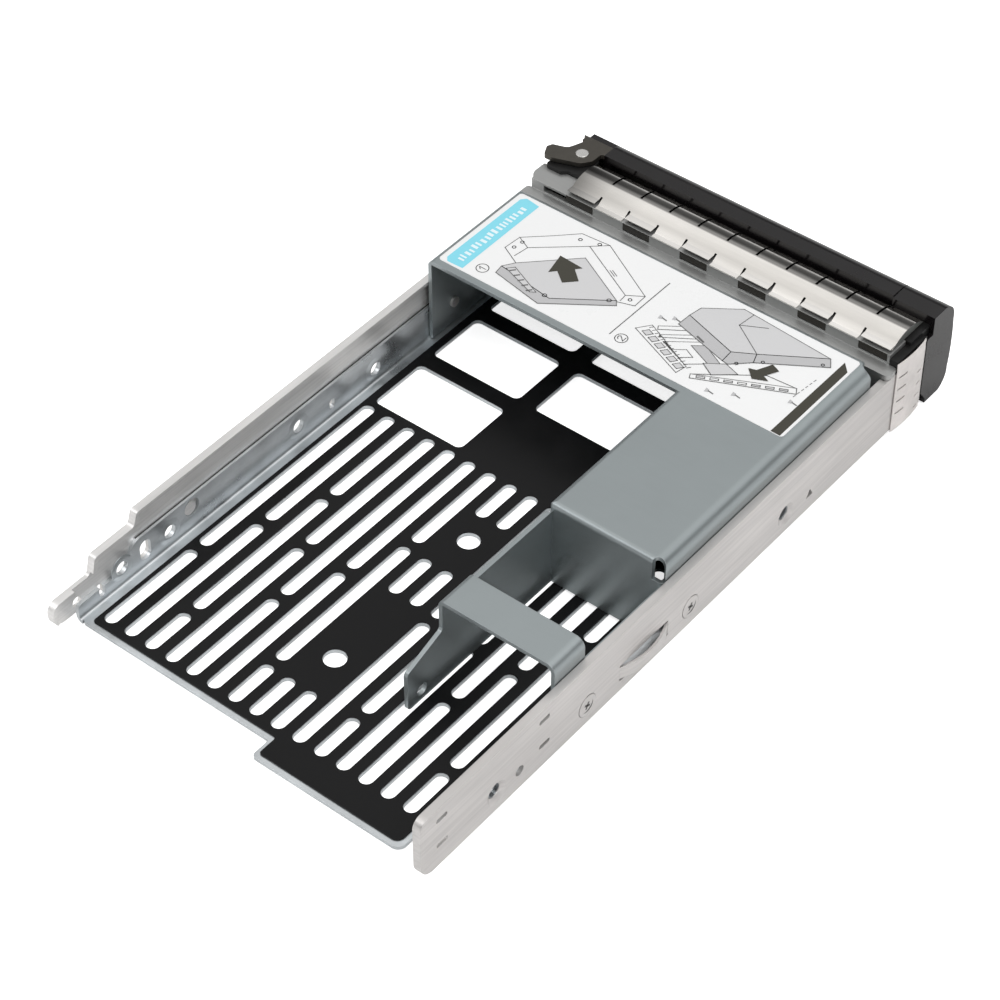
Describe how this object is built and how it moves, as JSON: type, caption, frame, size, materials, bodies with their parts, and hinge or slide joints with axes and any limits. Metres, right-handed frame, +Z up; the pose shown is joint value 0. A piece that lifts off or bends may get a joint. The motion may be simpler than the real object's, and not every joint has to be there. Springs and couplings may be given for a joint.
{
  "type": "hot swap drive caddy",
  "caption": "Sheet metal drive carrier with side rails, a folded bracket for a smaller drive and a hinged ejector handle across its front.",
  "frame": {"origin": "centre of the underside of the bounding box", "axes": "+Z up from the base plate, +Y along the caddy towards its connector end, so the handle faces -Y, and +X towards the lever pivot side"},
  "size_m": [0.1096, 0.1914, 0.0264],
  "materials": {
    "base_steel": "bright zinc plated sheet, faintly bluish",
    "film_black": "black insulating film",
    "rail_steel": "warm grey satin sheet",
    "bracket_steel": "bluish grey plated sheet",
    "label_print": "pale label with plain printed shapes",
    "frame_steel": "grey satin sheet",
    "panel_black": "black moulded plastic",
    "handle_black": "near black satin plastic",
    "arm_steel": "dark plated steel",
    "pin_steel": "bright rivet",
    "spring_steel": "spring wire",
    "button_plastic": "black moulded plastic",
    "latch_plastic": "black moulded plastic",
    "strip_steel": "bright stainless spring sheet",
    "pipe_clear": "clear moulded light pipe",
    "screw_steel": "plated screws"
  },
  "bodies": {
    "caddy": {"base_plate": "base_steel", "insulating_film": "film_black", "side_rail_near": "rail_steel", "side_rail_far": "rail_steel", "adapter_bracket": "bracket_steel", "bracket_label": "label_print", "front_frame": "frame_steel", "front_panel": "panel_black", "lever_spring": "spring_steel", "bezel_end_block": "handle_black", "button_spring": "spring_steel", "top_finger_strip": "strip_steel", "side_finger_strip": "strip_steel", "light_pipe_upper": "pipe_clear", "light_pipe_lower": "pipe_clear", "bracket_screws": "screw_steel"},
    "lever": {"lever_handle": "handle_black", "lever_arm": "arm_steel", "lever_pivot_pin": "pin_steel"},
    "button": {"release_button": "button_plastic"},
    "latch": {"latch_slide": "latch_plastic"}
  },
  "joints": [
    {"name": "lever_hinge", "type": "hinge", "parent": "caddy", "child": "lever", "pos_m": [0.0462, -0.0844, 0.0134], "axis": [0, 0, 1], "range_deg": [0, 50]},
    {"name": "button_press", "type": "slide", "parent": "caddy", "child": "button", "axis": [0, 1, 0], "range_m": [0, 0.0024], "stiffness_N_per_m": 300, "springref_m": -0.002},
    {"name": "latch_draw", "type": "slide", "parent": "caddy", "child": "latch", "axis": [-1, 0, 0], "range_m": [0, 0.0013]}
  ],
  "couplings": [
    {"joint": "latch_draw", "follows": "button_press", "ratio": 0.54}
  ]
}
